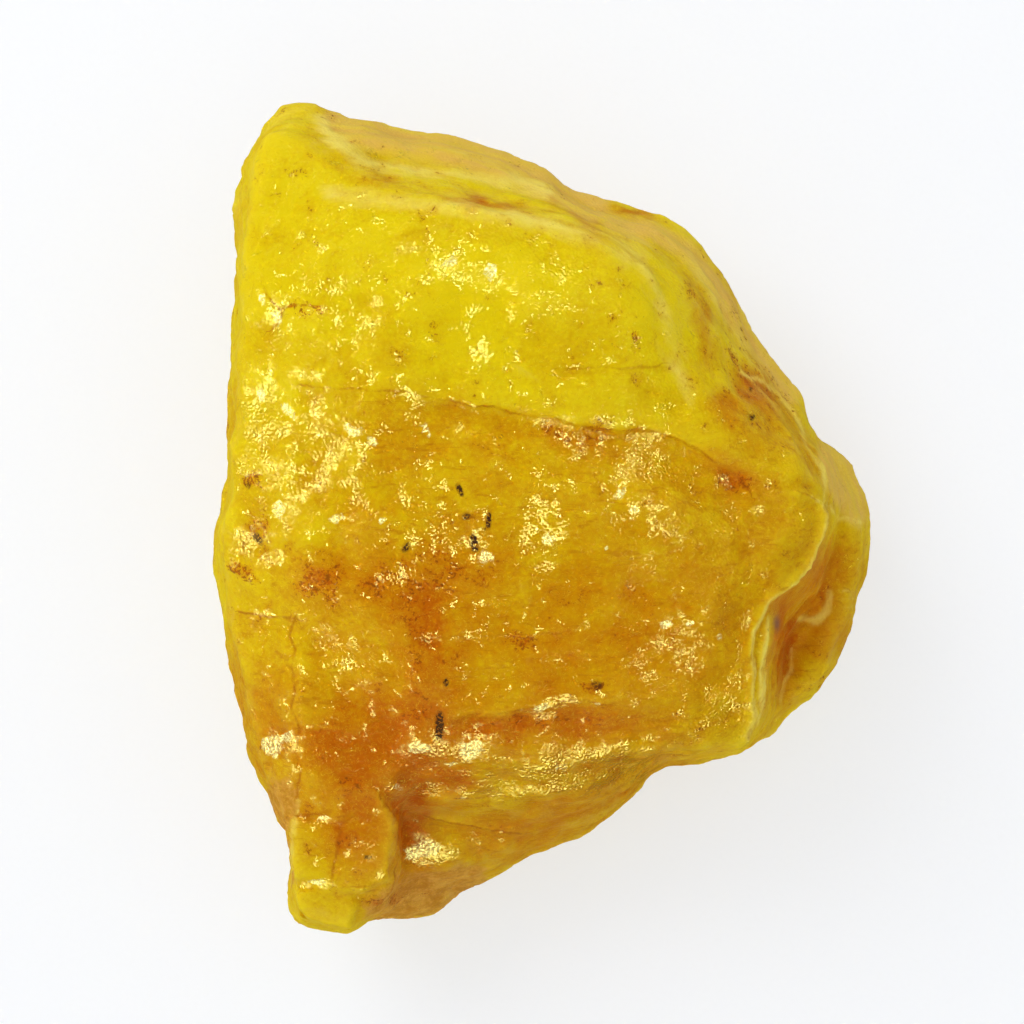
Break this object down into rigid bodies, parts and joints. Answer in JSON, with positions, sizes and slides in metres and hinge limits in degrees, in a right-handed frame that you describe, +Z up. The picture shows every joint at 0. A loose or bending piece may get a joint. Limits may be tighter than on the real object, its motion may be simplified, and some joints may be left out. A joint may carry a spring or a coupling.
{
  "type": "rough yellow sapphire",
  "caption": "Uncut lump of waxy yellow corundum with a broad stepped upper face, broken flanks, a side lobe, a squared foot and a flat parting face to rest on.",
  "frame": {"origin": "middle of the stone's bounding box, at the height of the flat face it rests on", "axes": "+Z up out of the broad upper face, +Y along the length towards the blunt nose, +X towards the side lobe"},
  "size_m": [0.0334, 0.042, 0.02],
  "materials": {
    "corundum": "waxy translucent yellow, stained golden and orange, with a glossy pitted skin and pale cream flanks"
  },
  "bodies": {
    "root": {"rough_sapphire": "corundum"}
  },
  "joints": []
}
